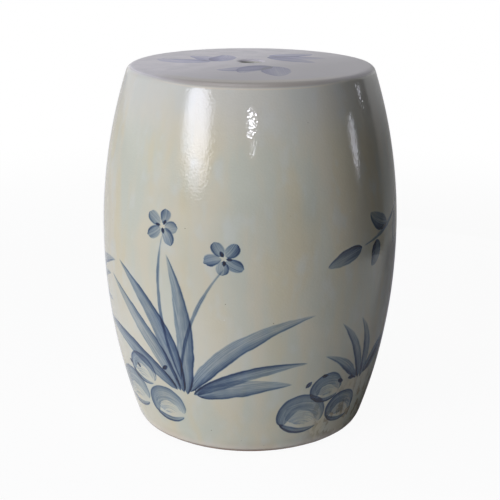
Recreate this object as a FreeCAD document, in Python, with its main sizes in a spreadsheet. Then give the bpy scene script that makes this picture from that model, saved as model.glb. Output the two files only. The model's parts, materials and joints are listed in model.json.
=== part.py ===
# Ceramic garden stool: a barrel of thrown clay sections, luted together under one coat of glaze.
# Millimetres, +Z up, origin on the floor at the middle of the foot.

import FreeCAD, Part
import math
import os

import Sketcher

# Driving dimensions: name, value, meaning
SIZES = [
    ("overall_height", 457, "floor to the top of the crowned seat"),
    ("belly_diameter", 370, "widest diameter, over the glaze"),
    ("belly_height", 242, "floor to the widest level, where the two drums meet"),
    ("seat_diameter", 299, "where the wall's curve would meet the seat plane"),
    ("base_diameter", 288, "where the wall's curve would meet the floor"),
    ("seat_edge_round", 10, "radius of the glazed edge round the seat"),
    ("base_edge_round", 18, "radius of the clay edge round the foot"),
    ("seat_crown", 3, "rise of the seat's middle above its edge"),
    ("hole_diameter", 28, "finger hole, inside the glaze"),
    ("hole_edge_round", 4, "radius of the clay edge at the top of the finger hole"),
    ("wall_thickness", 8, "clay of the two drums"),
    ("seat_thickness", 13, "clay of the seat disc at its edge"),
    ("foot_thickness", 13, "clay of the foot's flange"),
    ("foot_opening", 214, "diameter of the opening in the foot"),
    ("glaze_thickness", 0.8, "glass coat on the seat, the wall and the hole"),
    ("glaze_line", 6, "height above the floor where the glaze stops"),
    ("lute_thickness", 1.2, "fired slip in each joint"),
    ("lap_height", 4, "height of the tongue in the belly and foot joints"),
    ("seat_coil", 12, "leg of the clay coil pressed under the seat"),
    ("foot_coil", 14, "leg of the clay coil pressed above the foot"),
    ("coil_face", 24, "radius of the thumbed hollow along each coil"),
    ("band_height", 40, "clay strip pressed over the belly joint, inside"),
    ("band_thickness", 3, "thickness of that strip"),
]

# Lengths that follow from the driving dimensions
FORM = [
    ("belly_radius", "Sizes.belly_diameter / 2"),
    ("seat_plane", "Sizes.overall_height - Sizes.seat_crown"),
    ("wall_depth", "Sizes.glaze_thickness + Sizes.wall_thickness"),
    ("lap_depth", "Sizes.glaze_thickness + Sizes.wall_thickness / 2"),
    # The wall is two arcs that meet upright at the belly, one up to the seat and one down to the floor
    ("upper_draw", "belly_radius - Sizes.seat_diameter / 2"),
    ("upper_rise", "seat_plane - Sizes.belly_height"),
    ("upper_radius", "(upper_rise^2 + upper_draw^2) / (2 * upper_draw)"),
    ("upper_centre", "belly_radius - upper_radius"),
    ("lower_draw", "belly_radius - Sizes.base_diameter / 2"),
    ("lower_radius", "(Sizes.belly_height^2 + lower_draw^2) / (2 * lower_draw)"),
    ("lower_centre", "belly_radius - lower_radius"),
    # Round between the wall and the seat, glaze and clay about one centre
    ("seat_round_height", "seat_plane - Sizes.seat_edge_round"),
    ("seat_round_reach", "upper_radius - Sizes.seat_edge_round"),
    ("seat_round_sine", "(seat_round_height - Sizes.belly_height) / seat_round_reach"),
    ("seat_round_cosine", "sqrt(1 - seat_round_sine^2)"),
    ("seat_round_centre", "upper_centre + seat_round_reach * seat_round_cosine"),
    # Round between the wall and the floor
    ("base_round_reach", "lower_radius - Sizes.glaze_thickness - Sizes.base_edge_round"),
    ("base_round_sine", "(Sizes.belly_height - Sizes.base_edge_round) / base_round_reach"),
    ("base_round_cosine", "sqrt(1 - base_round_sine^2)"),
    ("base_round_centre", "lower_centre + base_round_reach * base_round_cosine"),
    # Crowned top and the rounded edge of its hole
    ("clay_seat_plane", "seat_plane - Sizes.glaze_thickness"),
    ("crown_radius", "(seat_round_centre^2 + Sizes.seat_crown^2) / (2 * Sizes.seat_crown)"),
    ("clay_hole_radius", "Sizes.hole_diameter / 2 + Sizes.glaze_thickness"),
    ("lip_centre", "clay_hole_radius + Sizes.hole_edge_round"),
    ("lip_drop", "crown_radius - sqrt(crown_radius^2 - lip_centre^2)"),
    ("lip_top", "Sizes.overall_height - Sizes.glaze_thickness - lip_drop"),
    ("lip_height", "lip_top - Sizes.hole_edge_round"),
    # Seats of the disc in the upper drum's mouth
    ("seat_underside", "clay_seat_plane - Sizes.seat_thickness"),
    ("rim_height", "seat_round_height - Sizes.lute_thickness"),
]


def new_document():
    """Document with the sheet of driving dimensions and the lengths that follow from them."""
    document = FreeCAD.newDocument("garden_stool")
    sheet = document.addObject("Spreadsheet::Sheet", "Sizes")
    for row, (alias, value, meaning) in enumerate(SIZES, start=1):
        sheet.set(f"A{row}", alias)
        sheet.set(f"B{row}", str(value))
        sheet.setAlias(f"B{row}", alias)
        sheet.set(f"C{row}", meaning)
    document.recompute()
    form = document.addObject("App::VarSet", "Form")
    for name, expression in FORM:
        form.addProperty("App::PropertyFloat", name, "Derived", "")
        form.setExpression(name, expression)
    document.recompute()
    return document


def upper(depth, height):
    """Point on the upper arc, at a depth inside the glazed face and a height above the floor."""
    reach = f"(Form.upper_radius - ({depth}))^2 - (({height}) - Sizes.belly_height)^2"
    return f"Form.upper_centre + sqrt({reach})", height


def lower(depth, height):
    """Point on the lower arc, at a depth inside the glazed face and a height above the floor."""
    reach = f"(Form.lower_radius - ({depth}))^2 - (({height}) - Sizes.belly_height)^2"
    return f"Form.lower_centre + sqrt({reach})", height


def seat_round_start(depth):
    """Where the wall runs into the round of the seat's edge."""
    length = f"(Form.upper_radius - ({depth}))"
    return (f"Form.upper_centre + {length} * Form.seat_round_cosine",
            f"Sizes.belly_height + {length} * Form.seat_round_sine")


def base_round_start(depth):
    """Where the wall runs into the round of the foot's edge."""
    length = f"(Form.lower_radius - ({depth}))"
    return (f"Form.lower_centre + {length} * Form.base_round_cosine",
            f"Sizes.belly_height - {length} * Form.base_round_sine")


def offset(length, extra):
    """Expression for a length with another added to it."""
    return f"({length}) + ({extra})"


def left(radius, point):
    """Arc that turns left on its way to a point."""
    return point[0], point[1], radius, 1


def right(radius, point):
    """Arc that turns right on its way to a point."""
    return point[0], point[1], radius, -1


def arc_between(start, end, radius, turn):
    """Arc of under a half circle from one point to another, turning left (1) or right (-1)."""
    chord = end - start
    middle = (start + end) / 2
    rise = math.sqrt(max(radius**2 - (chord.Length / 2)**2, 0))
    across = FreeCAD.Vector(-chord.y, chord.x, 0).normalize() * turn
    centre = middle + across * rise
    first, last = (start, end) if turn > 0 else (end, start)
    angles = [math.atan2(point.y - centre.y, point.x - centre.x) for point in (first, last)]
    circle = Part.Circle(centre, FreeCAD.Vector(0, 0, 1), radius)
    return Part.ArcOfCircle(circle, angles[0], angles[1])


def bind(sketch, constraint, expression):
    """Add a constraint and tie its value to an expression."""
    index = sketch.addConstraint(constraint)
    sketch.setExpression(f"Constraints[{index}]", expression)


def draw_outline(sketch, form, steps):
    """Closed outline in the half plane of radius and height, every corner and arc bound to the sizes."""
    corners = [FreeCAD.Vector(form.evalExpression(step[0]), form.evalExpression(step[1]), 0) for step in steps]
    starts = []
    ends = []
    for index, step in enumerate(steps):
        start = corners[index - 1]
        end = corners[index]
        if len(step) == 2:
            edge = sketch.addGeometry(Part.LineSegment(start, end), False)
            turn = 1
        else:
            turn = step[3]
            edge = sketch.addGeometry(arc_between(start, end, form.evalExpression(step[2]), turn), False)
        starts.append((edge, 1 if turn > 0 else 2))
        ends.append((edge, 2 if turn > 0 else 1))
    for index, step in enumerate(steps):
        following = starts[(index + 1) % len(steps)]
        sketch.addConstraint(Sketcher.Constraint("Coincident", *ends[index], *following))
        bind(sketch, Sketcher.Constraint("DistanceX", -1, 1, *ends[index], corners[index].x), step[0])
        if step[1] == "0":
            sketch.addConstraint(Sketcher.Constraint("PointOnObject", *ends[index], -1))
        else:
            bind(sketch, Sketcher.Constraint("DistanceY", -1, 1, *ends[index], corners[index].y), step[1])
        if len(step) == 4:
            radius = form.evalExpression(step[2])
            bind(sketch, Sketcher.Constraint("Radius", ends[index][0], radius), step[2])


def turned(document, name, steps):
    """Body of revolution about the stool's axis, from the outline of its section."""
    body = document.addObject("PartDesign::Body", name)
    body.Label = name
    sketch = body.newObject("Sketcher::SketchObject", f"{name}_section")
    plane = next(item for item in body.Origin.OriginFeatures if item.Role == "XZ_Plane")
    sketch.AttachmentSupport = [(plane, "")]
    sketch.MapMode = "FlatFace"
    draw_outline(sketch, document.Form, steps)
    revolution = body.newObject("PartDesign::Revolution", f"{name}_turned")
    revolution.Profile = sketch
    revolution.ReferenceAxis = (sketch, ["V_Axis"])
    revolution.Angle = 360
    sketch.Visibility = False
    return body


# Depths inside the glazed face, and the arcs that lie there
CLAY = "Sizes.glaze_thickness"
INSIDE = "Form.wall_depth"
BAND = "Form.wall_depth + Sizes.band_thickness"
UPPER_CLAY = "Form.upper_radius - Sizes.glaze_thickness"
UPPER_INSIDE = "Form.upper_radius - Form.wall_depth"
LOWER_CLAY = "Form.lower_radius - Sizes.glaze_thickness"
LOWER_INSIDE = "Form.lower_radius - Form.wall_depth"

# Levels of the belly and foot joints, and the radius of the step in each
BELLY = "Sizes.belly_height"
FOOT = "Sizes.base_edge_round"
LUTE = "Sizes.lute_thickness"
BELLY_STEP = upper("Form.lap_depth", BELLY)[0]
FOOT_STEP = lower("Form.lap_depth", FOOT)[0]
MOUTH = upper(INSIDE, "Form.seat_underside")[0]


def tongue(arc, level, step):
    """Inner tongue of the section below a joint, from the outer face to the inner one."""
    tongue_top = offset(level, "Sizes.lap_height")
    return [arc(CLAY, level), (step, level), (step, tongue_top), arc(INSIDE, tongue_top)]


def rebate(arc, level, step):
    """Matching rebate in the section above a joint, one lute clear of the tongue all along."""
    above = offset(level, LUTE)
    return tongue(arc, above, offset(step, LUTE))


def seat_disc(document):
    """Crowned disc with the finger hole; its spigot drops into the upper drum's mouth."""
    spigot = offset(MOUTH, "-Sizes.lute_thickness")
    return turned(document, "seat_disc", [
        (spigot, "Form.seat_underside"),
        (spigot, "Form.seat_round_height"),
        upper(CLAY, "Form.seat_round_height"),
        left(UPPER_CLAY, seat_round_start(CLAY)),
        left("Sizes.seat_edge_round - Sizes.glaze_thickness", ("Form.seat_round_centre", "Form.clay_seat_plane")),
        left("Form.crown_radius", ("Form.lip_centre", "Form.lip_top")),
        left("Sizes.hole_edge_round", ("Form.clay_hole_radius", "Form.lip_height")),
        ("Form.clay_hole_radius", "Form.seat_underside"),
    ])


def upper_drum(document):
    """Thrown wall from the belly up to the rim that carries the seat."""
    outer_foot, *lap, inner_foot = rebate(upper, BELLY, BELLY_STEP)
    return turned(document, "upper_drum", [
        outer_foot,
        left(UPPER_CLAY, upper(CLAY, "Form.rim_height")),
        (MOUTH, "Form.rim_height"),
        (MOUTH, "Form.seat_underside"),
        right(UPPER_INSIDE, inner_foot),
        *reversed(lap),
    ])


def lower_drum(document):
    """Thrown wall from the foot up to the belly."""
    outer_foot, *foot_lap, inner_foot = rebate(lower, FOOT, FOOT_STEP)
    outer_top, *belly_lap, inner_top = tongue(upper, BELLY, BELLY_STEP)
    return turned(document, "lower_drum", [
        outer_foot,
        left(LOWER_CLAY, outer_top),
        *belly_lap,
        inner_top,
        right(UPPER_INSIDE, upper(INSIDE, BELLY)),
        right(LOWER_INSIDE, inner_foot),
        *reversed(foot_lap),
    ])


def foot_ring(document):
    """Base turned in to a flange with an open middle; it stands on the floor."""
    outer_top, *lap, inner_top = tongue(lower, FOOT, FOOT_STEP)
    nose = "Sizes.foot_thickness / 2"
    nose_edge = "Sizes.foot_opening / 2 + Sizes.foot_thickness / 2"
    return turned(document, "foot_ring", [
        ("Form.base_round_centre", "0"),
        left("Sizes.base_edge_round", base_round_start(CLAY)),
        left(LOWER_CLAY, outer_top),
        *lap,
        inner_top,
        right(LOWER_INSIDE, lower(INSIDE, "Sizes.foot_thickness")),
        (nose_edge, "Sizes.foot_thickness"),
        left(nose, ("Sizes.foot_opening / 2", nose)),
        left(nose, (nose_edge, "0")),
    ])


def lap_lute(document, name, arc, outer_arc, inner_arc, level, step):
    """Ring of fired slip that fills the stepped gap between two sections."""
    outer_low, *low_lap, inner_low = tongue(arc, level, step)
    outer_high, *high_lap, inner_high = rebate(arc, level, step)
    return turned(document, name, [
        outer_low,
        left(outer_arc, outer_high),
        *high_lap,
        inner_high,
        right(inner_arc, inner_low),
        *reversed(low_lap),
    ])


def seat_lute(document):
    """Ring of fired slip under the disc's rim and round its spigot."""
    spigot = offset(MOUTH, "-Sizes.lute_thickness")
    return turned(document, "seat_lute", [
        upper(CLAY, "Form.rim_height"),
        left(UPPER_CLAY, upper(CLAY, "Form.seat_round_height")),
        (spigot, "Form.seat_round_height"),
        (spigot, "Form.seat_underside"),
        (MOUTH, "Form.seat_underside"),
        (MOUTH, "Form.rim_height"),
    ])


def seat_coil(document):
    """Clay coil pressed into the corner between the seat's underside and the wall."""
    low = offset("Form.seat_underside", "-Sizes.seat_coil")
    return turned(document, "seat_coil", [
        (offset(MOUTH, "-Sizes.seat_coil"), "Form.seat_underside"),
        right("Sizes.coil_face", upper(INSIDE, low)),
        left(UPPER_INSIDE, (MOUTH, "Form.seat_underside")),
    ])


def foot_coil(document):
    """Clay coil pressed into the corner between the foot's flange and the wall."""
    corner = lower(INSIDE, "Sizes.foot_thickness")
    high = offset("Sizes.foot_thickness", "Sizes.foot_coil")
    return turned(document, "foot_coil", [
        left(LOWER_INSIDE, lower(INSIDE, high)),
        right("Sizes.coil_face", (offset(corner[0], "-Sizes.foot_coil"), "Sizes.foot_thickness")),
        corner,
    ])


def belly_band(document):
    """Clay strip pressed over the belly joint on the inside."""
    low = "Sizes.belly_height - Sizes.band_height / 2"
    high = "Sizes.belly_height + Sizes.band_height / 2"
    return turned(document, "belly_band", [
        lower(INSIDE, low),
        left(LOWER_INSIDE, lower(INSIDE, BELLY)),
        left(UPPER_INSIDE, upper(INSIDE, high)),
        upper(BAND, high),
        right("Form.upper_radius - Form.wall_depth - Sizes.band_thickness", upper(BAND, BELLY)),
        right("Form.lower_radius - Form.wall_depth - Sizes.band_thickness", lower(BAND, low)),
    ])


def foot_edge(extra):
    """Point of the foot's round at the glaze line, some glass outside the clay."""
    radius = offset("Sizes.base_edge_round", extra)
    drop = "(Sizes.base_edge_round - Sizes.glaze_line)"
    return f"Form.base_round_centre + sqrt(({radius})^2 - {drop}^2)", "Sizes.glaze_line"


def glaze_coat(document):
    """Glass coat over the wall, the seat and the finger hole, stopping short of the floor.

    Its inner face is divided where the clay sections under it are, so that the two match all along.
    """
    seat_round = "Sizes.seat_edge_round"
    lip = "Sizes.hole_edge_round"
    glass_base = offset("Sizes.base_edge_round", CLAY)
    glass_lip = offset(lip, CLAY)
    finger_hole = "Sizes.hole_diameter / 2"
    return turned(document, "glaze_coat", [
        foot_edge(CLAY),
        left(glass_base, base_round_start("0")),
        left("Form.lower_radius", lower("0", BELLY)),
        left("Form.upper_radius", seat_round_start("0")),
        left(seat_round, ("Form.seat_round_centre", "Form.seat_plane")),
        left(offset("Form.crown_radius", CLAY), ("Form.lip_centre", offset("Form.lip_top", CLAY))),
        left(glass_lip, (finger_hole, "Form.lip_height")),
        (finger_hole, "Form.seat_underside"),
        ("Form.clay_hole_radius", "Form.seat_underside"),
        ("Form.clay_hole_radius", "Form.lip_height"),
        right(lip, ("Form.lip_centre", "Form.lip_top")),
        right("Form.crown_radius", ("Form.seat_round_centre", "Form.clay_seat_plane")),
        right(offset(seat_round, "-Sizes.glaze_thickness"), seat_round_start(CLAY)),
        right(UPPER_CLAY, upper(CLAY, "Form.seat_round_height")),
        right(UPPER_CLAY, upper(CLAY, "Form.rim_height")),
        right(UPPER_CLAY, upper(CLAY, offset(BELLY, LUTE))),
        right(UPPER_CLAY, upper(CLAY, BELLY)),
        right(LOWER_CLAY, lower(CLAY, offset(FOOT, LUTE))),
        right(LOWER_CLAY, lower(CLAY, FOOT)),
        right(LOWER_CLAY, base_round_start(CLAY)),
        right("Sizes.base_edge_round", foot_edge("0")),
    ])


def check(document, bodies):
    """Stop if any object of the document failed, or a piece isn't one sound solid."""
    for item in document.Objects:
        if "Invalid" in item.State or "Error" in item.State:
            raise RuntimeError(f"{item.Name} failed: {item.State}")
    for body in bodies:
        if body.Shape.isNull() or not body.Shape.isValid() or len(body.Shape.Solids) != 1:
            raise RuntimeError(f"{body.Label} is not one sound solid")


def main():
    document = new_document()
    bodies = [
        seat_disc(document),
        upper_drum(document),
        lower_drum(document),
        foot_ring(document),
        seat_lute(document),
        lap_lute(document, "belly_lute", upper, UPPER_CLAY, UPPER_INSIDE, BELLY, BELLY_STEP),
        lap_lute(document, "foot_lute", lower, LOWER_CLAY, LOWER_INSIDE, FOOT, FOOT_STEP),
        seat_coil(document),
        foot_coil(document),
        belly_band(document),
        glaze_coat(document),
    ]
    document.recompute()
    check(document, bodies)
    os.makedirs("parts", exist_ok=True)
    for body in bodies:
        body.Shape.exportStep(f"parts/{body.Label}.step")


main()
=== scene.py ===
"""Looks of the glazed ceramic garden stool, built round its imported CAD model."""
import cmath
import json
import math
import random

import bmesh
import bpy
import numpy as np
from mathutils import Matrix, Vector
from mathutils.geometry import interpolate_bezier


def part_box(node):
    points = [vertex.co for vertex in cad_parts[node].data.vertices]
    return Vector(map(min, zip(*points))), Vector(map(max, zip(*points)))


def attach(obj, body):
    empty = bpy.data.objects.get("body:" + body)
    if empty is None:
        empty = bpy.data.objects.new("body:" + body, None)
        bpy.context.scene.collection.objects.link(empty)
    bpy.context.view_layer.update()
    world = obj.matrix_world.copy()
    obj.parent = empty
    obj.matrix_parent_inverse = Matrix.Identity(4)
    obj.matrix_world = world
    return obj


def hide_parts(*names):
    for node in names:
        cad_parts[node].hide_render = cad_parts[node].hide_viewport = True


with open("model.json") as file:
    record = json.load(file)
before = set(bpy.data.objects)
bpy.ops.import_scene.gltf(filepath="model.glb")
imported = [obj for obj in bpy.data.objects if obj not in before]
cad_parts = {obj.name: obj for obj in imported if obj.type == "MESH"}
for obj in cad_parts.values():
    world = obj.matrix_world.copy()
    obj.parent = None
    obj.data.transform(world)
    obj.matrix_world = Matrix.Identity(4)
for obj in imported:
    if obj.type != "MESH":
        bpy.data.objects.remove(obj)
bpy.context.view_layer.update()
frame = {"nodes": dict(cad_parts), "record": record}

# Sizes of the glazed stool in metres. Those that the frame gives are read from it.

MM = 0.001
glaze_low, glaze_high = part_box("glaze_coat")
BELLY_RADIUS = glaze_high.x
GLAZE_LINE = glaze_low.z
SEAT_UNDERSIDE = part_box("seat_disc")[0].z
GLAZE = BELLY_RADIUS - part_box("lower_drum")[1].x
BELLY_HEIGHT = 242 * MM
SEAT_RADIUS = 149.5 * MM
SEAT_LEVEL = 454 * MM
SEAT_CROWN = 3 * MM
SEAT_ROUND = 10 * MM
BASE_RADIUS = 144 * MM
BASE_ROUND = 18 * MM + GLAZE
LIP_ROUND = 4 * MM + GLAZE
HOLE_RADIUS = 14 * MM

# How finely the skin is divided. Its inner side, which the clay hides, is coarser.

STEPS_ROUND = 384
SECTORS = 8
COARSE = 12
EDGE_STEPS = 4
WELD = 0.01 * MM

# The outline's arcs. A point is a complex number, radius plus height times i.


def sweep_through(across, up):
    """Radius of the arc that leaves the belly upright and reaches a point this far across and up."""
    return (up ** 2 + across ** 2) / (2 * across)


def inside_arc(centre, sweep, rounding, height):
    """Centre of a rounding that touches an arc from inside, its own centre at this height."""
    rise = height - centre.imag
    return complex(centre.real + math.sqrt((sweep - rounding) ** 2 - rise ** 2), height)


UPPER_SWEEP = sweep_through(BELLY_RADIUS - SEAT_RADIUS, SEAT_LEVEL - BELLY_HEIGHT)
LOWER_SWEEP = sweep_through(BELLY_RADIUS - BASE_RADIUS, BELLY_HEIGHT)
UPPER_CENTRE = complex(BELLY_RADIUS - UPPER_SWEEP, BELLY_HEIGHT)
LOWER_CENTRE = complex(BELLY_RADIUS - LOWER_SWEEP, BELLY_HEIGHT)
SEAT_CENTRE = inside_arc(UPPER_CENTRE, UPPER_SWEEP, SEAT_ROUND, SEAT_LEVEL - SEAT_ROUND)
BASE_CENTRE = inside_arc(LOWER_CENTRE, LOWER_SWEEP, BASE_ROUND, BASE_ROUND - GLAZE)
CROWN_SWEEP = sweep_through(SEAT_CROWN, SEAT_CENTRE.real) + GLAZE
CROWN_CENTRE = complex(0, SEAT_LEVEL + SEAT_CROWN - CROWN_SWEEP)
LIP_CENTRE = complex(
    HOLE_RADIUS + LIP_ROUND,
    CROWN_CENTRE.imag + math.sqrt((CROWN_SWEEP - LIP_ROUND) ** 2 - (HOLE_RADIUS + LIP_ROUND) ** 2),
)
SEAT_RISE = cmath.phase(SEAT_CENTRE - UPPER_CENTRE)
SEAT_TURN = cmath.phase(SEAT_CENTRE - CROWN_CENTRE)
LIP_TURN = cmath.phase(LIP_CENTRE - CROWN_CENTRE)
BASE_DROP = cmath.phase(BASE_CENTRE - LOWER_CENTRE)
LINE_DROP = -math.asin((BASE_CENTRE.imag - GLAZE_LINE) / (BASE_ROUND - GLAZE))

# Centre, turn and number of steps of each arc, from the glaze line up the wall and over the seat.
BENDS = (
    (BASE_CENTRE, BASE_DROP - LINE_DROP, 8),
    (LOWER_CENTRE, -BASE_DROP, 84),
    (UPPER_CENTRE, SEAT_RISE, 76),
    (SEAT_CENTRE, SEAT_TURN - SEAT_RISE, 7),
    (CROWN_CENTRE, LIP_TURN - SEAT_TURN, 40),
    (LIP_CENTRE, math.pi - LIP_TURN, 7),
)

# Length of the outline from the glaze line to the middle of the rim, where it faces out and up alike.
RIM_TURN = math.radians(45)
RIM_PATH = (
    BASE_ROUND * (BASE_DROP - LINE_DROP) - LOWER_SWEEP * BASE_DROP + UPPER_SWEEP * SEAT_RISE
    + SEAT_ROUND * (RIM_TURN - SEAT_RISE)
)


def carry_on(outline, tip, centre, turn, steps):
    """Draws the outline on from its tip by turning it about a centre."""
    made = bmesh.ops.spin(
        outline, geom=[tip], cent=(centre.real, 0, centre.imag), axis=(0, -1, 0), dvec=(0, 0, 0),
        angle=turn, space=Matrix(), steps=steps, use_merge=False, use_normal_flip=False,
        use_duplicate=False,
    )
    return made["geom_last"][0]


def go_straight(outline, tip, height):
    """Draws the outline on straight up or down to a height."""
    tip = bmesh.ops.extrude_vert_indiv(outline, verts=[tip])["verts"][0]
    tip.co.z = height
    return tip


def turn_round(shell, angle, steps, copies):
    """Spins everything about the stool's axis, as a surface or as copies side by side."""
    bmesh.ops.spin(
        shell, geom=shell.verts[:] + shell.edges[:] + shell.faces[:], cent=(0, 0, 0),
        axis=(0, 0, 1), dvec=(0, 0, 0), angle=angle, space=Matrix(), steps=steps,
        use_merge=False, use_normal_flip=False, use_duplicate=copies,
    )


def finish_mesh(work, name):
    """Turns a bmesh into an object with smooth faces."""
    mesh = bpy.data.meshes.new(name)
    for face in work.faces:
        face.smooth = True
    work.to_mesh(mesh)
    work.free()
    piece = bpy.data.objects.new(name, mesh)
    bpy.context.scene.collection.objects.link(piece)
    return piece


def make_glaze_skin():
    """The glass coat as one closed shell: up the wall, over the seat, through the hole and back."""
    shell = bmesh.new()
    outer = shell.verts.layers.float.new("outer")
    path = shell.verts.layers.float.new("path")
    start = BASE_CENTRE + cmath.rect(BASE_ROUND, LINE_DROP)
    tip = shell.verts.new((start.real, 0, start.imag))
    for centre, turn, steps in BENDS:
        tip = carry_on(shell, tip, centre, turn, steps)

    # Only the outer side is painted. Its finish reads how far along the outline each place lies.
    shell.verts.ensure_lookup_table()
    length = 0
    before = shell.verts[0]
    for point in shell.verts:
        length += (point.co - before.co).length
        point[outer] = 1
        point[path] = length
        before = point

    hole_edge = complex(HOLE_RADIUS + GLAZE / 2, SEAT_UNDERSIDE + GLAZE / 2)
    tip = go_straight(shell, tip, hole_edge.imag)
    tip = carry_on(shell, tip, hole_edge, math.pi, EDGE_STEPS)
    tip[outer] = 0
    tip = go_straight(shell, tip, LIP_CENTRE.imag)
    for centre, turn, steps in reversed(BENDS):
        tip = carry_on(shell, tip, centre, -turn, max(1, steps // COARSE))
    line_edge = BASE_CENTRE + cmath.rect(BASE_ROUND - GLAZE / 2, LINE_DROP)
    carry_on(shell, tip, line_edge, math.pi, EDGE_STEPS)

    bmesh.ops.remove_doubles(shell, verts=shell.verts, dist=WELD)
    turn_round(shell, math.tau / SECTORS, STEPS_ROUND // SECTORS, False)
    turn_round(shell, math.tau * (SECTORS - 1) / SECTORS, SECTORS - 1, True)
    bmesh.ops.remove_doubles(shell, verts=shell.verts, dist=WELD)
    bmesh.ops.recalc_face_normals(shell, faces=shell.faces)
    return finish_mesh(shell, "glaze_skin")


# The skin's faint unevenness, in millimetres. It lies this far below the CAD surface, more or less
# by the swell, and by only a share of that at the lip of the finger hole. It gathers in a bead at
# the glaze line, which wanders by a small angle about the centre of the rounding.

MEAN_SINK = 0.24
SWELL = 0.14
LIP_SHARE = 0.4
BEAD = 0.25
LINE_WANDER = 0.025


def read_points(mesh, attribute=None):
    """Corner places, or one attribute's values, as an array."""
    if attribute:
        values = np.zeros(len(mesh.vertices), np.float32)
        mesh.attributes[attribute].data.foreach_get("value", values)
        return values
    values = np.zeros(len(mesh.vertices) * 3, np.float32)
    mesh.vertices.foreach_get("co", values)
    return values.reshape(-1, 3).astype(float)


def rise_over(values, start, length):
    """0 up to the start, and 1 from this length beyond it."""
    return np.clip((values - start) / length, 0, 1)


def waves(places, shortest, longest, count, seed):
    """Smooth swelling between -1 and 1 at these places, from seeded waves that cross each other."""
    draw = random.Random(seed)
    total = np.zeros(len(places))
    for _ in range(count):
        way = Vector((draw.gauss(0, 1), draw.gauss(0, 1), draw.gauss(0, 1))).normalized()
        length = draw.uniform(shortest, longest)
        total += np.sin(places @ np.array(way) * math.tau / length + draw.uniform(0, math.tau))
    return np.clip(total / (1.6 * math.sqrt(count)), -1, 1)


def soften_skin(skin):
    """Gives the thrown wall its faint swelling, always inwards, and the glaze line its wander."""
    mesh = skin.data
    places = read_points(mesh)
    outer = read_points(mesh, "outer")
    radius = np.hypot(places[:, 0], places[:, 1])
    height = places[:, 2]
    around = np.arctan2(places[:, 1], places[:, 0])

    # The outer side sinks, but not in the bore of the finger hole, which keeps its size.
    swell = waves(places, shortest=60 * MM, longest=120 * MM, count=24, seed=4)
    sink = (MEAN_SINK + SWELL * swell) * MM * outer
    lip = LIP_SHARE * rise_over(height, SEAT_LEVEL - 2 * MM, 4 * MM)
    sink *= np.maximum(lip, rise_over(radius, 20 * MM, 20 * MM))
    normals = np.zeros(len(places) * 3, np.float32)
    mesh.vertices.foreach_get("normal", normals)
    places -= normals.reshape(-1, 3) * sink[:, None]

    # At the foot each place turns about the centre of the rounding, and the outer side moves out too.
    arm_out = radius - BASE_CENTRE.real
    arm_up = height - BASE_CENTRE.imag
    arm = np.hypot(arm_out, arm_up)
    angle = np.arctan2(arm_up, arm_out)
    near = np.clip((BASE_DROP - angle) / (BASE_DROP - LINE_DROP), 0, 1)
    near *= height < BASE_CENTRE.imag
    wander = np.sin(3 * around + 1) + np.sin(7 * around) + 0.7 * np.sin(17 * around + 2)
    wander += 0.5 * np.sin(41 * around)
    angle += near ** 2 * LINE_WANDER * (wander + 1)
    arm += near ** 3 * BEAD * MM * outer
    moved = near > 0
    scale = (BASE_CENTRE.real + arm * np.cos(angle)) / np.maximum(radius, MM)
    places[moved, 0] *= scale[moved]
    places[moved, 1] *= scale[moved]
    places[moved, 2] = (BASE_CENTRE.imag + arm * np.sin(angle))[moved]
    mesh.vertices.foreach_set("co", places.astype(np.float32).ravel())
    mesh.update()


# Brushwork under the glaze. It lies on charts in millimetres: round the wall and up it, or across
# the seat. Strokes that touch go into separate layers, and each layer is read by the glaze finish.

# The wall's chart is true to scale at this radius, and the seat's begins this far from the hole's axis.
CHART_RADIUS = 170
SEAT_CHART_STARTS = 22
LAYERS = 9
CURVE_POINTS = 28
# A stroke is noted this far outside its edge. Where no stroke is noted, the half width is below that.
REACH = 6.5
BARE = -20
# The brush is loaded more on one of its sides. What it lays too wet at first falls to a third over so
# many millimetres, and by the stroke's end it has lost this share of its load.
EITHER_SIDE = (-0.9, 0.9)
WET_FOR = 14
DRIES_BY = 0.45


def on_wall(azimuth, height):
    """A place on the wall's chart, its azimuth in degrees from the front towards the right."""
    return Vector((math.radians(azimuth) * CHART_RADIUS, height))


def heading(lean):
    """A direction on a chart that leans this many degrees to the right of straight up."""
    return Vector((math.sin(math.radians(lean)), math.cos(math.radians(lean))))


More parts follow.
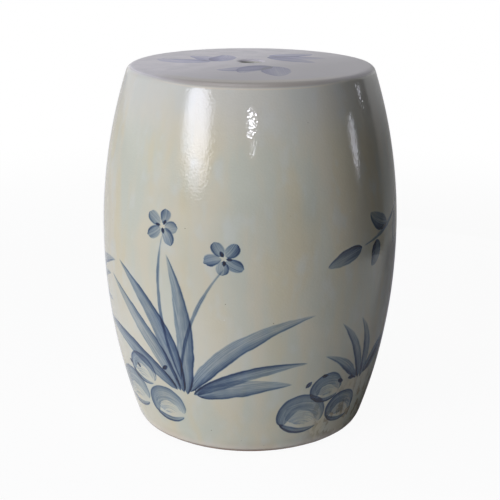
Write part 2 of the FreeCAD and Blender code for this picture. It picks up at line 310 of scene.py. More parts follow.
class Stroke:
    """One pull of the brush along a curve, with its half width and its load of blue at each point."""

    def __init__(self, start, first, last, end, half, load, side=0.6, blunt=0.0, seat=False, wet=0.8):
        curve = interpolate_bezier(start, first, last, end, CURVE_POINTS)
        self.path = np.array([tuple(point)[:2] for point in curve])
        self.steps = np.diff(self.path, axis=0)
        self.lengths = np.hypot(*self.steps.T)
        self.marks = np.concatenate([[0], np.cumsum(self.lengths)])
        part = self.marks / self.marks[-1]
        taper = np.sin(math.pi * part ** 0.72) ** 0.8
        oval = (1 - np.abs(2 * part - 1) ** 2.6) ** 0.5
        self.half = half * (taper * (1 - blunt) + oval * blunt)
        self.load = load * (1 + wet * np.exp(-self.marks / WET_FOR) - DRIES_BY * part ** 2)
        self.side = side
        self.seat = seat

    def lie(self, points):
        """How far along and aside of the stroke the points lie, and its half width and load there."""
        between = points[:, None] - self.path[None, :-1]
        raw = (between * self.steps).sum(-1) / self.lengths ** 2
        part = np.clip(raw, 0, 1)
        gaps = between - part[..., None] * self.steps
        far = np.hypot(gaps[..., 0], gaps[..., 1])
        best = far.argmin(1)
        row = np.arange(len(points))
        step = self.steps[best]
        near = between[row, best]
        # Past its ends the stroke narrows by as much as a point lies over.
        over = np.maximum(0, np.where(best == 0, -raw[row, best], 0))
        over = np.maximum(over, np.where(best == len(self.steps) - 1, raw[row, best] - 1, 0))
        over *= self.lengths[best]
        aside = np.sqrt(np.maximum(0, far[row, best] ** 2 - over ** 2))
        aside *= np.sign(step[:, 0] * near[:, 1] - step[:, 1] * near[:, 0])
        along = self.marks[best] + part[row, best] * self.lengths[best]
        half = np.interp(along, self.marks, self.half) - over
        return along, aside, half, np.interp(along, self.marks, self.load)


def leaf(root, lean, droop, reach, half, load, side):
    """A long leaf: it leaves its root at one lean and ends at another."""
    tip = root + heading(lean + droop * 0.45) * reach
    first = root + heading(lean) * reach * 0.36
    last = tip - heading(lean + droop) * reach * 0.36
    return Stroke(root, first, last, tip, half, load, side)


def spray(root, count, lean, spread, reach, half, seed):
    """A tuft of leaves that fan out from about one root and droop outwards."""
    draw = random.Random(seed)
    strokes = []
    for number in range(count):
        fan = 2 * number / (count - 1) - 1
        way = lean + spread * fan + draw.uniform(-6, 6)
        foot = root + Vector((fan * half * 1.1, draw.uniform(-5, 5)))
        length = reach * (1 - 0.3 * abs(fan)) * draw.uniform(0.75, 1.1)
        droop = draw.uniform(25, 60) * (1 if fan > 0 else -1)
        width = half * draw.uniform(0.65, 1.1)
        load = draw.uniform(0.9, 1.7)
        strokes.append(leaf(foot, way, droop, length, width, load, draw.choice(EITHER_SIDE)))
    return strokes


def touch(start, end, half, load, side, blunt):
    """A short dark touch of the brush's point."""
    middle = start.lerp(end, 0.5)
    return Stroke(start, middle, middle, end, half, load, side, blunt)


def blossom(centre, petal, turn, seed):
    """Five short petals pulled in towards a heart of dark touches."""
    draw = random.Random(seed)
    strokes = []
    for number in range(5):
        way = heading(turn + 72 * number + draw.uniform(-9, 9))
        start = centre + way * petal * draw.uniform(1.25, 1.6)
        end = centre + way * petal * 0.22
        bend = way.orthogonal() * petal * draw.uniform(-0.15, 0.15)
        first = start.lerp(end, 0.35) + bend
        last = start.lerp(end, 0.65) + bend
        load = draw.uniform(0.8, 1.4)
        side = draw.choice((-0.8, 0.8))
        strokes.append(Stroke(start, first, last, end, petal * 0.46, load, side, blunt=0.7, wet=0.2))
    for number in range(3):
        way = heading(turn + 36 + 120 * number + draw.uniform(-20, 20))
        start = centre + way * petal * 0.15
        end = centre + way * petal * 0.62
        strokes.append(touch(start, end, half=petal * 0.13, load=3.6, side=0.2, blunt=0.6))
    return strokes


def stem(start, end, bow, half, load):
    """A thin stalk that bows to one side."""
    across = (end - start).orthogonal() * bow
    first = start.lerp(end, 0.35) + across
    last = start.lerp(end, 0.7) + across
    return Stroke(start, first, last, end, half, load, side=0.2, blunt=0.9)


def stone(centre, width, height, lean, load, seed):
    """A river stone: one broad turn of the brush over its back, a wash inside and a dark foot."""
    side = heading(lean + 90) * width / 2
    rise = heading(lean) * height / 2
    crest = random.Random(seed).uniform(1.1, 1.3)

    def spot(across, up):
        return centre + side * across + rise * up

    back = Stroke(
        spot(-0.72, -0.7), spot(-0.95, crest), spot(0.8, crest), spot(0.76, -0.6),
        height * 0.24, load * 0.95, side=0.95, blunt=0.85, wet=0.5,
    )
    wash = Stroke(
        spot(-0.62, -0.25), spot(-0.2, 0.25), spot(0.3, 0.2), spot(0.66, -0.3),
        height * 0.36, load * 0.5, side=-0.4, blunt=1.0, wet=0.1,
    )
    foot = Stroke(
        spot(-0.82, -0.5), spot(-0.4, -1.1), spot(0.3, -1.15), spot(0.7, -0.8),
        height * 0.09, load * 1.7, side=-0.9, blunt=0.4, wet=0.6,
    )
    return [back, wash, foot]


def stones(foot, size, seed):
    """Three river stones in a pile with moss dots round them."""
    draw = random.Random(seed)
    strokes = []
    for across, up, wide in ((-0.44, 0.36, 1.08), (0.50, 0.30, 0.86), (0.02, 0.86, 0.74)):
        centre = foot + Vector((across, up)) * size
        height = size * wide * draw.uniform(0.62, 0.74)
        lean = draw.uniform(-12, 12)
        load = draw.uniform(0.85, 1.15)
        strokes += stone(centre, size * wide, height, lean, load, seed + int(wide * 100))
    for _ in range(4):
        start = foot + Vector((draw.uniform(-1.15, 1.15), draw.uniform(0.75, 1.15))) * size
        end = start + heading(draw.uniform(40, 120)) * draw.uniform(7, 12)
        strokes.append(touch(start, end, half=2.4, load=3.0, side=0.3, blunt=0.8))
    return strokes


def broad_leaves(root, count, lean, spread, length, half, load, seed, seat=False):
    """Short wide leaves pressed down hard, with dark edges."""
    draw = random.Random(seed)
    strokes = []
    for number in range(count):
        way = lean + spread * (2 * number / max(1, count - 1) - 1) + draw.uniform(-5, 5)
        reach = length * draw.uniform(0.8, 1.15)
        tip = root + heading(way) * reach
        bow = heading(way + 90) * reach * draw.uniform(-0.2, 0.2)
        start = root + heading(way) * 4
        first = root.lerp(tip, 0.35) + bow
        last = root.lerp(tip, 0.75) + bow
        width = half * draw.uniform(0.85, 1.1)
        laid = load * draw.uniform(0.8, 1.2)
        side = draw.choice(EITHER_SIDE)
        strokes.append(Stroke(start, first, last, tip, width, laid, side, blunt=0.35, seat=seat))
    return strokes


def branch(start, end, bow, seed):
    """A leafy twig: a stalk with leaves pressed down along both sides of it."""
    draw = random.Random(seed)
    load = 1.5
    strokes = [stem(start, end, bow, half=2.6, load=load * 1.2)]
    way = math.degrees(math.atan2(end.x - start.x, end.y - start.y))
    for part, turn in ((0.42, -58), (0.6, 52), (0.82, -44), (1.0, 8)):
        root = start.lerp(end, part) + (end - start).orthogonal() * bow * 3 * part * (1 - part)
        length = draw.uniform(38, 56)
        strokes += broad_leaves(
            root, 1, way + turn, spread=0, length=length, half=9.5, load=load, seed=seed + int(part * 10)
        )
    return strokes


def design():
    """Every stroke: stones, tufts of long leaves, blossoms on stalks and leafy twigs."""
    strokes = []

    # The front, from the left.
    strokes += stones(on_wall(-50, 36), size=72, seed=31)
    strokes += spray(on_wall(-26, 84), count=7, lean=12, spread=62, reach=215, half=12, seed=11)
    for azimuth, height, turn in ((-33, 292, 10), (-9, 262, 40)):
        stalk_end = on_wall(azimuth, height - 12)
        strokes.append(stem(on_wall(-28, 100), stalk_end, bow=0.09, half=2.0, load=2.0))
        strokes += blossom(on_wall(azimuth, height), petal=15, turn=turn, seed=20 + turn)
    strokes += stones(on_wall(33, 30), size=66, seed=33)
    strokes += spray(on_wall(54, 84), count=5, lean=10, spread=48, reach=110, half=9.5, seed=12)
    strokes += branch(on_wall(86, 322), on_wall(46, 262), bow=0.10, seed=71)

    # The sides and the back.
    strokes += spray(on_wall(-104, 150), count=7, lean=14, spread=50, reach=150, half=10, seed=13)
    strokes += stones(on_wall(-116, 76), size=70, seed=34)
    strokes += stones(on_wall(112, 38), size=74, seed=32)
    strokes += spray(on_wall(138, 92), count=7, lean=-8, spread=58, reach=200, half=11, seed=14)
    strokes += blossom(on_wall(112, 292), petal=15, turn=15, seed=51)
    strokes += branch(on_wall(-178, 226), on_wall(-142, 322), bow=-0.12, seed=73)
    strokes += blossom(on_wall(-134, 352), petal=14, turn=0, seed=52)
    strokes += stones(on_wall(-160, 36), size=66, seed=35)

    # The seat, three sprigs round the finger hole.
    for azimuth, seed in ((25, 81), (145, 82), (265, 83)):
        root = heading(azimuth) * 46
        strokes += broad_leaves(
            root, 3, azimuth + 70, spread=36, length=72, half=16, load=0.8, seed=seed, seat=True
        )
    return strokes


def paint_skin(skin, strokes):
    """Writes each layer of strokes on the skin as two attributes that the finish reads."""
    mesh = skin.data
    places = read_points(mesh) / MM
    path = read_points(mesh, "path") / MM
    outer = read_points(mesh, "outer") > 0.5
    radius = np.hypot(places[:, 0], places[:, 1])
    seat = outer & (places[:, 2] > SEAT_LEVEL / MM - 2) & (radius > SEAT_CHART_STARTS)
    around = np.arctan2(places[:, 0], -places[:, 1]) * CHART_RADIUS
    girth = math.tau * CHART_RADIUS
    charts = {False: np.stack([around, path], 1), True: places[:, :2]}
    shown = {False: outer & ~seat, True: seat}
    lies = np.tile(np.array([0, 0, BARE], np.float32), (LAYERS, len(places), 1))
    manners = np.zeros((LAYERS, len(places), 3), np.float32)
    taken = np.zeros((LAYERS, len(places)), bool)
    for number, stroke in enumerate(strokes):
        # The wall's chart is cut open at the side away from the stroke.
        points = charts[stroke.seat].copy()
        if not stroke.seat:
            middle = stroke.path.mean(0)[0]
            points[:, 0] = middle + (points[:, 0] - middle + girth / 2) % girth - girth / 2
        room = stroke.half.max() + REACH
        low = stroke.path.min(0) - room
        high = stroke.path.max(0) + room
        near = np.flatnonzero(shown[stroke.seat] & (points > low).all(1) & (points < high).all(1))
        along, aside, half, load = stroke.lie(points[near])
        close = half - np.abs(aside) > -REACH
        near = near[close]

        # The first layer that is clear here takes the stroke. Its number gives it its own hair marks.
        clear = [not taken[layer, near].any() for layer in range(LAYERS)]
        layer = clear.index(True) if any(clear) else number % LAYERS
        taken[layer, near] = True
        lies[layer, near] = np.stack([along, aside, half], 1)[close]
        manners[layer, near, 0] = load[close]
        manners[layer, near, 1] = stroke.side
        manners[layer, near, 2] = number * 3.7
    for layer in range(LAYERS):
        for name, values in (("stroke", lies), ("manner", manners)):
            kept = mesh.attributes.new(f"{name}_{layer}", "FLOAT_VECTOR", "POINT")
            kept.data.foreach_set("vector", values[layer].ravel())


# Finishes. A Wire is a socket on which sums can be written, and a Finish is a material made of them.


class Wire:
    """A socket in a finish. A sum on it adds Math nodes."""

    def __init__(self, finish, socket):
        self.finish = finish
        self.socket = socket

    def __add__(self, other):
        return self.finish.maths("ADD", self, other)

    def __sub__(self, other):
        return self.finish.maths("SUBTRACT", self, other)

    def __rsub__(self, other):
        return self.finish.maths("SUBTRACT", other, self)

    def __mul__(self, other):
        return self.finish.maths("MULTIPLY", self, other)

    def __truediv__(self, other):
        return self.finish.maths("DIVIDE", self, other)

    def __rpow__(self, other):
        return self.finish.maths("POWER", other, self)

    def __abs__(self):
        return self.finish.maths("ABSOLUTE", self)

    __radd__ = __add__
    __rmul__ = __mul__


class Mixture:
    """A node tree that is being filled, for a material or for the world."""

    def __init__(self, tree, output):
        self.tree = tree
        self.tree.nodes.clear()
        self.end = self.tree.nodes.new(output)

    def show(self, wire):
        """Makes this shader the one that the tree gives."""
        self.join(self.end.inputs["Surface"], wire)

    def join(self, socket, value):
        """Links a wire to a socket, or sets the socket to a value."""
        if isinstance(value, Wire):
            self.tree.links.new(value.socket, socket)
        else:
            socket.default_value = value

    def node(self, kind, settings, sockets, outlet=0):
        """Any node: its settings first, then the values or links of its sockets."""
        made = self.tree.nodes.new(kind)
        for name, value in settings.items():
            setattr(made, name, value)
        for name, value in sockets.items():
            self.join(made.inputs[name], value)
        return Wire(self, made.outputs[outlet])

    def maths(self, operation, *values):
        """A Math node on wires and numbers."""
        return self.node("ShaderNodeMath", {"operation": operation}, dict(enumerate(values)))

    def larger(self, first, second):
        """The larger of two values."""
        return self.maths("MAXIMUM", first, second)

    def step(self, value, low, high):
        """0 up to low, 1 from high, smooth between. Where low is the larger, it falls."""
        settings = {"interpolation_type": "SMOOTHSTEP"}
        return self.node("ShaderNodeMapRange", settings, {0: value, 1: low, 2: high})

    def axes(self, vector):
        """The three parts of a vector."""
        made = self.node("ShaderNodeSeparateXYZ", {}, {0: vector}).socket.node
        return [Wire(self, socket) for socket in made.outputs]

    def seen(self):
        """1 for what the camera sees, and 1 for what a mirror or a glass sees."""
        path = self.node("ShaderNodeLightPath", {}, {}).socket.node
        rays = [path.outputs[f"Is {ray} Ray"] for ray in ("Camera", "Glossy", "Transmission")]
        camera, glossy, glass = [Wire(self, socket) for socket in rays]
        return camera, self.larger(glossy, glass)


class Finish(Mixture):
    """A procedural material: one Principled shader and the nodes that feed it."""

    def __init__(self, name, **constants):
        self.material = bpy.data.materials.new(name)
        self.material.use_nodes = True
        super().__init__(self.material.node_tree, "ShaderNodeOutputMaterial")
        shader = self.node("ShaderNodeBsdfPrincipled", {}, {})
        self.show(shader)
        self.shader = shader.socket.node
        for socket, value in constants.items():
            self.feed(socket.replace("_", " "), value)
        self.place = self.node("ShaderNodeTexCoord", {}, {}, "Object")

    def feed(self, socket, value):
        """Sets or links one of the shader's sockets."""
        self.join(self.shader.inputs[socket], value)

    def noise(self, scale, detail=2.0, roughness=0.5, at=None, warp=0.0):
        """Cloudy values about 0.5, the scale in patches to the metre."""
        sockets = {"Vector": at or self.place, "Scale": scale, "Detail": detail}
        sockets.update({"Roughness": roughness, "Distortion": warp})
        return self.node("ShaderNodeTexNoise", {}, sockets)

    def drawn_out(self, upright):
        """Object coordinates for patterns that run down the wall. A small number draws them long."""
        settings = {"operation": "MULTIPLY"}
        return self.node("ShaderNodeVectorMath", settings, {0: self.place, 1: (1, 1, upright)})

    def mix(self, factor, first, second, blend="MIX"):
        """The first colour, and as much of the second as the factor says."""
        settings = {"data_type": "RGBA", "blend_type": blend}
        return self.node("ShaderNodeMix", settings, {0: factor, 6: first, 7: second}, 2)

    def vector(self, x, y, z):
        """A vector from three values."""
        return self.node("ShaderNodeCombineXYZ", {}, {0: x, 1: y, 2: z})

    def attribute(self, name):
        """The three parts of an attribute of the piece."""
        made = self.node("ShaderNodeAttribute", {"attribute_name": name}, {}, "Vector")
        return self.axes(made)

    def specks(self, scale, share, size, seed):
        """Round specks: this share of the cells holds one each, its size in parts of a cell."""
        settings = {"operation": "ADD"}
        shifted = self.node("ShaderNodeVectorMath", settings, {0: self.place, 1: (seed, seed, seed)})
        cell = self.node("ShaderNodeTexVoronoi", {}, {"Vector": shifted, "Scale": scale})
        chance = self.axes(Wire(self, cell.socket.node.outputs["Color"]))[0]
        spread = self.step(chance, 1 - share, 1) * size
        return self.step(cell, spread, spread * 0.4) * self.maths("GREATER_THAN", chance, 1 - share)

    def bump(self, height):
        """Relief from a height in millimetres."""
        sockets = {"Height": height, "Distance": MM, "Strength": 1.0}
        self.feed("Normal", self.node("ShaderNodeBump", {}, sockets))


def colour(red, green, blue):
    """A display colour, 0 to 255, as the linear colour that a shader reads."""
    parts = [part / 255 for part in (red, green, blue)]
    linear = [part / 12.92 if part <= 0.04045 else ((part + 0.055) / 1.055) ** 2.4 for part in parts]
    return (*linear, 1.0)


# Colours of the wall's glaze, from its body to its foot.

GREY_GREEN = colour(189, 191, 172)
CREAM = colour(199, 193, 168)
HONEY = colour(199, 190, 157)
MILKY = colour(195, 198, 186)
COOL_GREY = colour(192, 192, 184)
# A paler cream, painted light low on the wall's left, the side that faces the lamps.
PAINTED_LIGHT_CREAM = colour(214, 210, 190)
STAIN_BROWN = colour(118, 100, 70)
RUST = colour(158, 138, 104)
FOOT_PINK = colour(219, 208, 194)
FOOT_BROWN = colour(112, 88, 74)

# Colours of the seat's glaze, its painted shade, its worn and shaded edge, and the specks in both.

LAVENDER = colour(196, 192, 196)
PALE_LAVENDER = colour(212, 207, 210)
SEAT_SHADE_LAVENDER = colour(154, 150, 152)
WORN_AND_SHADED_BEIGE = colour(162, 155, 143)
RIM_LINE_CREAM = colour(212, 200, 176)
DARK_SPECK = colour(70, 62, 50)
PALE_SPECK = colour(226, 226, 222)

# Iron specks and pale grit in every clay.

IRON_SPECK = colour(74, 50, 34)
PALE_GRIT = colour(214, 200, 178)

# What one full load of blue leaves of the red, green and blue light.

BLUE_LEAVES_RED = 0.36
BLUE_LEAVES_GREEN = 0.46
BLUE_LEAVES_BLUE = 0.63


def blue_laid(glaze, layer):
    """How much blue one layer of strokes lays at each place."""
    along, aside, half = glaze.attribute(f"stroke_{layer}")
    load, side, seed = glaze.attribute(f"manner_{layer}")

    # The hand sways the stroke's edge, and the hairs of a dry brush leave gaps.
    sway = glaze.noise(1, at=glaze.vector(along * 0.045, aside * 0.06, seed))
    inside = half - abs(aside) + (sway - 0.5) * (2.0 + glaze.larger(half, 0) * 0.3)
    hair = glaze.noise(1, 3, 0.6, glaze.vector(along * 0.025, aside * 0.8, seed + 9))
    dry = glaze.larger((0.95 - load) * 0.8, 0)
    covered = glaze.step(inside, -0.9, 1.5) * glaze.step(hair, dry - 0.04, dry + 0.16)

    # Blue is darker in the hairs' lines, on the loaded side, and where it pools at the edge.
    across = aside / glaze.larger(half, 1)
    loaded = glaze.step(across * side, 0.0, 0.9)
    pooled = 1.0 - glaze.step(inside, 0.4, 2.6)
    streak = glaze.step(hair, 0.34, 0.66)
    return covered * load * (0.5 + streak * 0.46 + loaded * 0.95 + pooled * (0.15 + loaded * 1.1))


def light_left(glaze, seat):
    """The colour of the light that the blue of all the layers leaves. On the seat it is less green."""
    blue = blue_laid(glaze, 0)
    for layer in range(1, LAYERS):
        blue = blue + blue_laid(glaze, layer)
    blue = blue * (0.96 + 0.48 * glaze.noise(90))
    red_left = BLUE_LEAVES_RED ** blue
    green_left = BLUE_LEAVES_GREEN ** (blue * (1.0 + seat * 0.25))
    blue_left = BLUE_LEAVES_BLUE ** blue
    return glaze.node("ShaderNodeCombineColor", {}, {0: red_left, 1: green_left, 2: blue_left})


def wall_glaze(glaze, x, y, z):
    """Grey-green glaze with soft runs of colour, cooler under the rim, and paler low at the left as
    painted light on the lamp side.
    """
    cloud = glaze.noise(26, 4, at=glaze.drawn_out(0.32), warp=0.4)
    warm = glaze.noise(30, at=glaze.drawn_out(0.22), warp=0.2)
    pale = glaze.noise(46, at=glaze.drawn_out(0.55))
    wall = glaze.mix(glaze.step(cloud, 0.36, 0.66), GREY_GREEN, CREAM)
    wall = glaze.mix(glaze.step(warm, 0.48, 0.66) * 0.7, wall, HONEY)
    wall = glaze.mix(glaze.step(pale, 0.52, 0.74) * 0.6, wall, MILKY)
    wall = glaze.mix(glaze.step(z, 370 * MM, 440 * MM) * 0.6, wall, COOL_GREY)
    # Painted light: the lower wall is paler on the left, the side that faces the lamps.
    painted_light_low_left = glaze.step(z, 260 * MM, 150 * MM) * glaze.step(z, 60 * MM, 120 * MM)
    painted_light_low_left = painted_light_low_left * glaze.step(x, 40 * MM, -60 * MM)
    wall = glaze.mix(painted_light_low_left * 0.45, wall, PAINTED_LIGHT_CREAM)

    # A brown stain low at the front right, and the thin glaze just above the bare clay.
    stained = glaze.step(z, 110 * MM, 40 * MM) * glaze.step(x, 50 * MM, 110 * MM)
    stained = stained * glaze.step(y, 20 * MM, -60 * MM)
    blotch = glaze.step(glaze.noise(95, 4, 0.65, glaze.drawn_out(0.4)), 0.48, 0.60)
    wall = glaze.mix(stained * blotch * 0.75, wall, STAIN_BROWN)
    rusty = glaze.step(z, 26 * MM, 8 * MM) * glaze.step(glaze.noise(24, 3), 0.40, 0.62)
    wall = glaze.mix(rusty * 0.25, wall, RUST)
    wall = glaze.mix(glaze.step(z, 19 * MM, 10 * MM) * 0.4, wall, FOOT_PINK)
    return glaze.mix(glaze.step(z, 9.6 * MM, 7.0 * MM) * 0.7, wall, FOOT_BROWN)


def seat_glaze(glaze, x, y, radius, front):
    """Drier lavender-grey glaze with painted shade at the front right, and worn and in painted shade
    along its front edge.
    """
    top = glaze.mix(glaze.step(glaze.noise(38, 4, 0.55), 0.35, 0.65), LAVENDER, PALE_LAVENDER)
    # Painted shade: the seat darkens towards the front right.
    painted_shade_front_right = glaze.step(y * 0.75 - x * 0.66, 50 * MM, -90 * MM)
    top = glaze.mix(painted_shade_front_right * 0.9, top, SEAT_SHADE_LAVENDER)
    # Along the front edge the glaze is partly worn thin and partly darkened as painted shade on the
    # rounding.
    worn_and_shaded_edge = glaze.step(radius + glaze.noise(22) * (9 * MM), 131 * MM, 141 * MM)
    return glaze.mix(worn_and_shaded_edge * front * 0.9, top, WORN_AND_SHADED_BEIGE)


def glaze_finish():
    """Glossy clear grey-green glaze on the wall, and a drier lavender-grey one on the seat."""
    glaze = Finish("stool_glaze", Specular_IOR_Level=0.5, IOR=1.5)
    x, y, z = glaze.axes(glaze.place)
    radius = glaze.maths("SQRT", x * x + y * y)

    # The seat's glaze laps over the rim, most and with the sharpest edge at the front, where it stands
    # partly for painted shade on the rounding. In the bore of the finger hole the wall's glaze goes on.
    front = glaze.step(0 - y / radius, 0.55, 0.99)
    lap = glaze.larger(front, glaze.step(x / radius, 0.5, 0.9) * 0.7)
    past_rim = glaze.attribute("path")[0] - (RIM_PATH + 2 * MM) + lap * (4.6 * MM)
    seat = glaze.step(past_rim / (4.0 - lap * 3.0), -1.0 * MM, 1.0 * MM)
    seat = seat * glaze.step(radius, 14.2 * MM, 15.2 * MM)
    body = glaze.mix(seat, wall_glaze(glaze, x, y, z), seat_glaze(glaze, x, y, radius, front))
    # A pale cream line just below the seat's edge, at the front.
    thin = glaze.step(abs(past_rim + 1.9 * MM), 1.3 * MM, 0.3 * MM) * front
    body = glaze.mix(thin * 0.5, body, RIM_LINE_CREAM)

    body = glaze.mix(glaze.specks(110, share=0.09, size=0.10, seed=3) * 0.7, body, DARK_SPECK)
    body = glaze.mix(glaze.specks(70, share=0.06, size=0.08, seed=5) * 0.8, body, PALE_SPECK)
    glaze.feed("Base Color", glaze.mix(1.0, body, light_left(glaze, seat), "MULTIPLY"))
    glaze.feed("Roughness", seat * 0.32 + 0.04)
    grain = glaze.noise(430, 0)
    orange_peel = glaze.noise(120, 0)
    glaze.bump(grain * 0.1 + orange_peel * 0.07)
    return glaze.material


def clay_finish(name, pale, dark, coarse=1.0):
    """Matt fired stoneware with iron specks and faint throwing rings."""
    clay = Finish(f"fired_{name}", Roughness=0.85, Specular_IOR_Level=0.25)
    z = clay.axes(clay.place)[2]
    patch = clay.noise(35, 4, 0.6)
    grit = clay.noise(900, 2, 0.6)
    body = clay.mix(clay.step(patch, 0.35, 0.68), pale, dark)
    body = clay.mix(clay.specks(260, share=0.10, size=0.16, seed=7) * 0.8, body, IRON_SPECK)
    clay.feed("Base Color", clay.mix(grit * 0.25, body, PALE_GRIT))
    ring_pitch = 9 * MM
    rings = clay.maths("SINE", z * (math.tau / ring_pitch) + clay.noise(14) * 5.0)
    clay.bump(grit * (0.12 * coarse) + rings * 0.05 + patch * 0.2)
    return clay.material


def dress_clay():
    """Gives each CAD node that still shows its own stoneware finish, in a pale and a dark colour."""
    finishes = {
        "clay": clay_finish("clay", colour(190, 174, 150), colour(164, 142, 116)),
        "foot_clay": clay_finish("foot_clay", colour(126, 84, 58), colour(96, 60, 40), coarse=1.6),
        "lute": clay_finish("lute", colour(206, 194, 172), colour(182, 166, 142)),
        "coil_clay": clay_finish("coil_clay", colour(184, 166, 140), colour(152, 130, 104), coarse=1.4),
    }
    slots = {part["node"]: part["material_slot"] for part in frame["record"]["subparts"]}
    for name, node in frame["nodes"].items():
        if slots[name] in finishes:
            node.data.materials.clear()
            node.data.materials.append(finishes[slots[name]])


# The studio: a white floor and surround, soft lamps at the left and above, small glints, and two
# curved screens at the right that stand in for the dark side of the room.

WHITE = (1, 1, 1, 1)
BLACK = (0, 0, 0, 1)
SOFT_BLUE = (0.95, 0.96, 1.09)
AIM = Vector((0, 0, 0.25))
FILL = 0.02
FLOOR_HALF = 60
FLOOR_PAINT = (0.9, 0.9, 0.9, 1)
FLOOR_WHITE = 0.95
FLOOR_MIRRORED = 0.6
# The stool's shadow on the floor runs this way, across and back.
SHADOW_X = 0.695
SHADOW_Y = 0.719
SCREEN_DISTANCE = 0.9
SCREEN_HEIGHT = 1.5
SCREEN_STEPS = 16
SCREEN_FELT = (0.02, 0.02, 0.02, 1)

# The camera of the photograph: its place, its sensor and lens in millimetres, and the degrees by
# which it tips down and leans.

CAMERA_PLACE = (0, -1.3884, 0.6529)
CAMERA_SENSOR = 36
CAMERA_LENS = 81.87
CAMERA_TIPS = 17.475
CAMERA_LEANS = 0.285


def toward(azimuth, elevation, distance, aim=AIM):
    """A place seen from the stool at this azimuth from the camera's side, turning to the right."""
    side = math.radians(azimuth)
    up = math.radians(elevation)
    way = Vector((math.sin(side) * math.cos(up), -math.cos(side) * math.cos(up), math.sin(up)))
    return aim + way * distance


def add_lamp(name, azimuth, elevation, distance, width, height, glow, lean=0):
    """A round or oval soft lamp facing the stool. Its glow is the brightness of its face."""
    light = bpy.data.lights.new(name, "AREA")
    light.shape = "ELLIPSE"
    light.size = width
    light.size_y = height
    light.energy = glow * math.pi * width * height * math.pi / 4
    light.color = SOFT_BLUE
    lamp = bpy.data.objects.new(name, light)
    place = toward(azimuth, elevation, distance)
    facing = (AIM - place).to_track_quat("-Z", "Y").to_matrix().to_4x4()
    lamp.matrix_world = Matrix.Translation(place) @ facing @ Matrix.Rotation(math.radians(lean), 4, "Z")
    bpy.context.scene.collection.objects.link(lamp)
    return lamp


def add_glint(name, azimuth, elevation, distance, width, height, glow):
    """A small lamp that only the glaze mirrors."""
    add_lamp(name, azimuth, elevation, distance, width, height, glow).visible_diffuse = False


def light_surround():
    """A surround that is white where it is seen or mirrored, and lights the stool only faintly."""
    world = bpy.data.worlds.new("surround")
    bpy.context.scene.world = world
    world.use_nodes = True
    surround = Mixture(world.node_tree, "ShaderNodeOutputWorld")
    fill = surround.node("ShaderNodeBackground", {}, {"Color": WHITE, "Strength": FILL})
    white = surround.node("ShaderNodeBackground", {}, {"Color": WHITE, "Strength": 1.0})
    shown = surround.larger(*surround.seen())
    surround.show(surround.node("ShaderNodeMixShader", {}, {0: shown, 1: fill, 2: white}))


def lay_floor():
    """A floor that is nearly white to the camera and keeps the stool's shadow."""
    sheet = bmesh.new()
    bmesh.ops.create_grid(sheet, x_segments=1, y_segments=1, size=FLOOR_HALF)
    floor = finish_mesh(sheet, "studio_floor")
    paint = bpy.data.materials.new("studio_floor")
    paint.use_nodes = True
    white_floor = Mixture(paint.node_tree, "ShaderNodeOutputMaterial")
    lit = white_floor.node("ShaderNodeBsdfDiffuse", {}, {"Color": FLOOR_PAINT})
    plain = white_floor.node("ShaderNodeEmission", {}, {"Strength": 1.0})
    camera, mirror = white_floor.seen()

    # The glaze mirrors the floor nearly white, but the stool's shadow as dark as it lies there.
    x, y, _ = white_floor.axes(white_floor.node("ShaderNodeTexCoord", {}, {}, "Object"))
    behind = x * SHADOW_X + y * SHADOW_Y
    beside = x * SHADOW_Y - y * SHADOW_X
    shaded = white_floor.step(abs(beside), 0.40, 0.22) * white_floor.step(behind, -0.06, 0.06)
    away = white_floor.step(x * x + y * y, 0.3, 3.0)
    share = camera * (FLOOR_WHITE + away * (1 - FLOOR_WHITE))
    share = share + mirror * (1.0 - shaded) * FLOOR_MIRRORED
    white_floor.show(white_floor.node("ShaderNodeMixShader", {}, {0: share, 1: lit, 2: plain}))
    floor.data.materials.append(paint)


def stand_screen(name, start, stop, at_foot, at_top):
    """A curved felt screen between two azimuths. Its glow, at its foot and top, is only mirrored."""
    post = bmesh.new()
    foot = post.verts.new(toward(start, 0, SCREEN_DISTANCE, Vector((0, 0, MM))))
    go_straight(post, foot, SCREEN_HEIGHT)
    turn_round(post, math.radians(stop - start), SCREEN_STEPS, False)
    screen = finish_mesh(post, name)
    screen.visible_camera = False
    felt = Finish(name, Base_Color=SCREEN_FELT, Roughness=1.0, Specular_IOR_Level=0.0)

    # The glow grows upwards, and fades to white towards the camera's side.
    x, y, z = felt.axes(felt.place)
    low = (at_foot, at_foot, at_foot, 1)
    high = (at_top, at_top, at_top, 1)
    graded = felt.mix(felt.step(z, 0.25, 0.62), low, high)
    fading = felt.step(felt.maths("ARCTAN2", x, 0 - y), math.radians(96), math.radians(47))
    mirrored = felt.mix(fading, graded, WHITE)
    felt.feed("Emission Color", felt.mix(felt.seen()[1], BLACK, mirrored))
    felt.feed("Emission Strength", 1.0)
    screen.data.materials.append(felt.material)


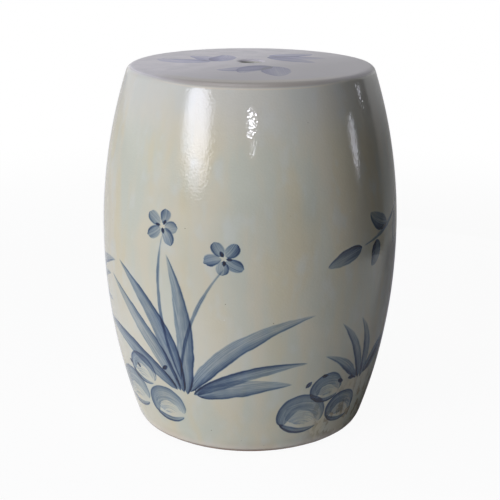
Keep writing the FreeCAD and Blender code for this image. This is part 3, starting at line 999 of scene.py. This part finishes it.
def build_studio():
    """Surround, floor, screens and lamps. None of it is part of the stool."""
    light_surround()
    lay_floor()
    stand_screen("dark_screen", 47, 114, at_foot=0.12, at_top=0.36)
    stand_screen("grey_screen", 114, 175, at_foot=0.3, at_top=0.95)

    # Each lamp hangs at an azimuth, an elevation and a distance. One large soft lamp at the left is
    # three overlapping ovals, and a card hangs above.
    add_lamp("left_softbox", -45.5, 19, 4.0, width=0.9, height=1.4, glow=2.2, lean=30)
    add_lamp("left_softbox_middle", -45, 18.5, 4.05, width=1.35, height=1.9, glow=3.6, lean=30)
    add_lamp("left_softbox_halo", -44.5, 16.5, 4.1, width=1.8, height=2.4, glow=3.4, lean=30)
    add_lamp("top_card", -60, 78, 2.5, width=1.5, height=1.5, glow=3.0)

    # A wide low fill at the left, which nothing mirrors.
    add_lamp("low_fill", -54, 5, 4.2, width=5.0, height=1.3, glow=4.6).visible_glossy = False

    # Small glints at the front and at the right.
    add_glint("front_glint", 1.2, 21.7, 2.2, width=0.15, height=0.12, glow=50)
    add_glint("front_glint_low", 1.2, 16, 2.2, width=0.08, height=0.15, glow=11)
    add_glint("right_glint", 83, 12.5, 0.85, width=0.085, height=0.21, glow=4.2)
    add_glint("right_glint_high", 101, 20.9, 0.85, width=0.045, height=0.07, glow=3.0)


def place_camera():
    """A short telephoto looking down at the stool."""
    lens = bpy.data.cameras.new("camera")
    lens.sensor_width = CAMERA_SENSOR
    lens.lens = CAMERA_LENS
    camera = bpy.data.objects.new("camera", lens)
    camera.location = CAMERA_PLACE
    pitch = Matrix.Rotation(math.radians(90 - CAMERA_TIPS), 4, "X")
    roll = Matrix.Rotation(math.radians(CAMERA_LEANS), 4, "Z")
    camera.matrix_world = Matrix.Translation(camera.location) @ pitch @ roll
    bpy.context.scene.collection.objects.link(camera)
    bpy.context.scene.camera = camera


bpy.context.scene.view_settings.view_transform = "Standard"
place_camera()
build_studio()
dress_clay()

skin = make_glaze_skin()
soften_skin(skin)
paint_skin(skin, design())
skin.data.materials.append(glaze_finish())
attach(skin, "root")
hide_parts("glaze_coat")
